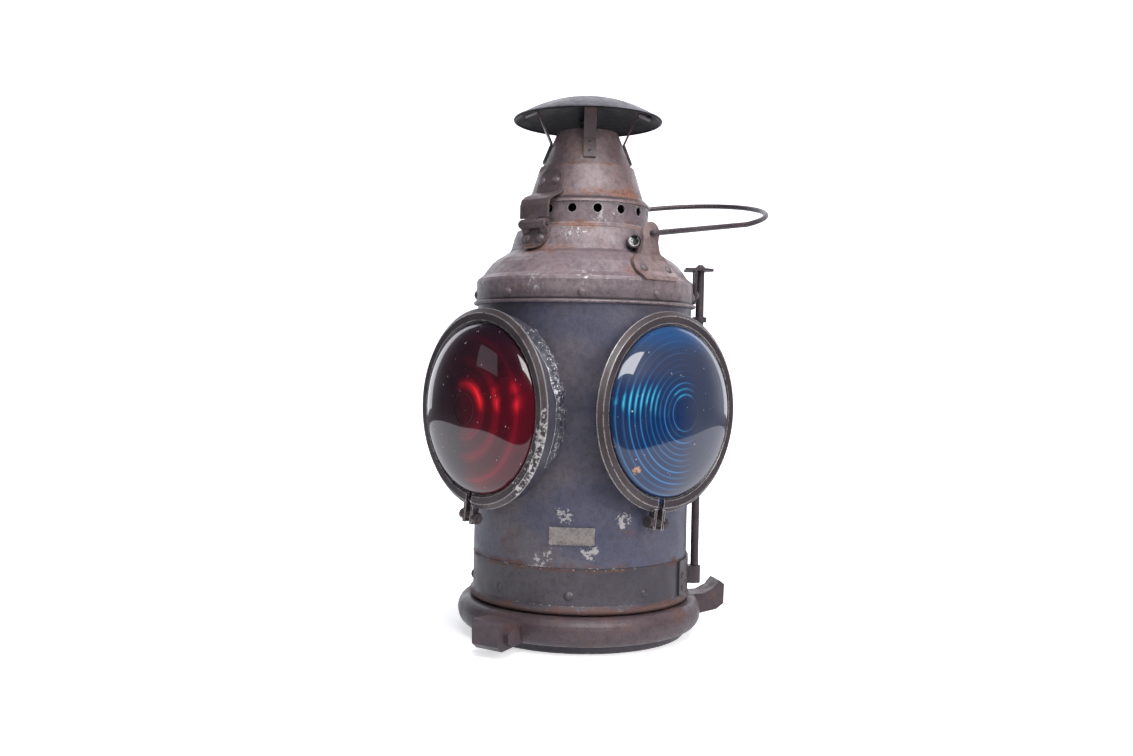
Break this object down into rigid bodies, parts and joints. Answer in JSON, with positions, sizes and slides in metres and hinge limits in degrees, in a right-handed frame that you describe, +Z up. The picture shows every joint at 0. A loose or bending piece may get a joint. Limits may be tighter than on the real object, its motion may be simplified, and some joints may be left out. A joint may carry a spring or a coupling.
{
  "type": "railroad marker lamp",
  "caption": "Oil-burning railroad marker lamp with one red and three blue lenses in clamp rings, hinged chimney top, wire bail and cast swivel ring base.",
  "frame": {"origin": "on the lamp's axis at the underside of the base", "axes": "+Z up; -Y out of the red lens, +X out of the blue lens beside it; the bail turns about X"},
  "size_m": [0.2178, 0.3006, 0.4183],
  "materials": {
    "base_paint": "worn satin paint over steel",
    "drum_paint": "worn satin paint over steel",
    "roof_paint": "faded paint with rust",
    "ring_paint": "paint worn to metal on the edges",
    "red_glass": "polished, stepped back",
    "blue_glass": "polished, stepped back",
    "clear_glass": "clear",
    "gasket_cork": "matte",
    "dark_steel": "dark oxidised steel",
    "plate_metal": "worn bare plate",
    "bright_wire": "bright",
    "cast_iron": "rusty casting",
    "tinned_steel": "dull tinned",
    "burner_brass": "aged",
    "wick_cotton": "woven"
  },
  "bodies": {
    "root": {"base_pan": "base_paint", "lower_band": "base_paint", "band_rivets": "base_paint", "drum": "drum_paint", "nameplate": "plate_metal", "roof": "roof_paint", "skirt_rivets": "roof_paint", "lens_cup_front": "drum_paint", "lens_cup_right": "drum_paint", "lens_cup_rear": "drum_paint", "lens_cup_left": "drum_paint", "lens_ring_front": "ring_paint", "lens_ring_right": "ring_paint", "lens_ring_rear": "ring_paint", "lens_ring_left": "ring_paint", "lens_front": "red_glass", "lens_right": "blue_glass", "lens_rear": "blue_glass", "lens_left": "blue_glass", "lens_gaskets": "gasket_cork", "clamp_bolts": "dark_steel", "clamp_nuts": "dark_steel", "bail_ear_right": "roof_paint", "bail_ear_left": "roof_paint", "peep_tube": "dark_steel", "peep_ring": "bright_wire", "peep_glass": "clear_glass", "rod_bracket": "dark_steel", "rod_foot_plate": "dark_steel", "bracket_rivets": "roof_paint", "hinge_lower_leaf": "roof_paint", "hinge_pin": "dark_steel", "fount": "tinned_steel", "filler_cap": "burner_brass", "fount_springs": "dark_steel", "burner": "burner_brass", "burner_deflector": "burner_brass", "burner_glass": "clear_glass"},
    "chimney_top": {"hinge_upper_leaf": "roof_paint", "top_rivets": "roof_paint", "cone_lower": "roof_paint", "cone_upper": "roof_paint", "rain_cap": "roof_paint", "cap_straps": "roof_paint", "strap_rivets": "roof_paint", "lift_tab": "roof_paint"},
    "bail": {"bail": "dark_steel"},
    "lock_rod": {"lock_rod": "dark_steel", "rod_collar": "dark_steel"},
    "swivel_ring": {"swivel_ring": "cast_iron", "ring_bolt": "dark_steel", "ring_nut": "dark_steel"},
    "wick": {"wick": "wick_cotton"},
    "wick_spindle": {"wick_spindle": "burner_brass"}
  },
  "joints": [
    {"name": "top_hinge", "type": "hinge", "parent": "root", "child": "chimney_top", "pos_m": [0.00507, -0.05798, 0.314], "axis": [0.9962, 0.0872, 0], "range_deg": [0, 105]},
    {"name": "bail_hinge", "type": "hinge", "parent": "root", "child": "bail", "pos_m": [0, -0.003, 0.3069], "axis": [1, 0, 0], "range_deg": [-45, 202]},
    {"name": "rod_lift", "type": "slide", "parent": "root", "child": "lock_rod", "axis": [0, 0, 1], "range_m": [0, 0.006]},
    {"name": "ring_turn", "type": "hinge", "parent": "root", "child": "swivel_ring", "pos_m": [0, 0, 0.017], "axis": [0, 0, 1], "continuous": true},
    {"name": "spindle_turn", "type": "hinge", "parent": "root", "child": "wick_spindle", "pos_m": [0, -0.005, 0.115], "axis": [1, 0, 0], "range_deg": [-85, 85]},
    {"name": "wick_slide", "type": "slide", "parent": "root", "child": "wick", "axis": [0, 0, 1], "range_m": [-0.0059, 0.0059]}
  ],
  "couplings": [
    {"joint": "spindle_turn", "follows": "wick_slide", "rad_per_m": 250}
  ]
}
